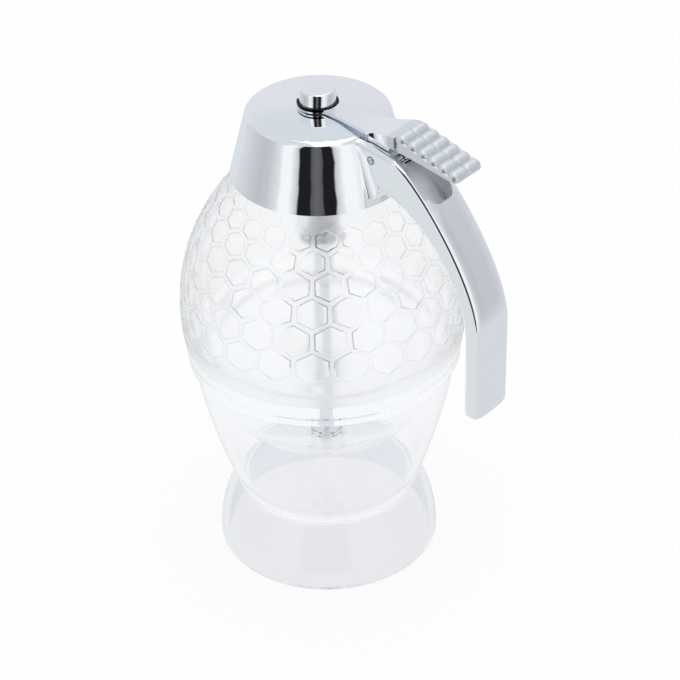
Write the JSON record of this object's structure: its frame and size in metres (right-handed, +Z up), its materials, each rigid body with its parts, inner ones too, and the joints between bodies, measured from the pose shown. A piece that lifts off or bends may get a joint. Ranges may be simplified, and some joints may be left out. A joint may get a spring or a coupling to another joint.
{
  "type": "honey dispenser",
  "caption": "Clear beehive-shaped honey dispenser with a lever-worked outlet, chrome cap and handle, on a clear stand.",
  "frame": {"origin": "centre of the stand's foot on the surface that it stands on", "axes": "+Z up along the container's axis, +X towards the handle, mid-plane at Y = 0"},
  "size_m": [0.1021, 0.082, 0.15],
  "materials": {
    "clear_acrylic": "clear polished",
    "chrome": "mirror plated",
    "white_plastic": "satin",
    "silicone": "matt translucent",
    "steel": "ground"
  },
  "bodies": {
    "stand_body": {"stand": "clear_acrylic"},
    "container": {"hive_shell": "clear_acrylic", "funnel": "clear_acrylic"},
    "cap_unit": {"cap": "chrome", "cap_liner": "white_plastic", "neck_gasket": "silicone", "guide_bush": "white_plastic", "pivot_pin": "steel"},
    "lever_body": {"lever": "chrome"},
    "plunger": {"knob": "chrome", "rod": "steel", "spring": "steel", "spring_washer": "steel", "retaining_clip": "steel", "stopper": "silicone", "stopper_nut": "steel"}
  },
  "joints": [
    {"name": "container_lift", "type": "slide", "parent": "stand_body", "child": "container", "axis": [0, 0, 1], "range_m": [0, 0.06]},
    {"name": "cap_lift", "type": "slide", "parent": "container", "child": "cap_unit", "axis": [0, 0, 1], "range_m": [0, 0.12]},
    {"name": "lever_press", "type": "hinge", "parent": "cap_unit", "child": "lever_body", "pos_m": [0.0242, 0, 0.139], "axis": [0, 1, 0], "range_deg": [0, 15]},
    {"name": "plunger_slide", "type": "slide", "parent": "cap_unit", "child": "plunger", "axis": [0, 0, 1], "range_m": [0, 0.0079], "stiffness_N_per_m": 400, "springref_m": -0.003, "deforming": ["spring"]}
  ],
  "couplings": [
    {"joint": "lever_press", "follows": "plunger_slide", "rad_per_m": 33.13}
  ]
}
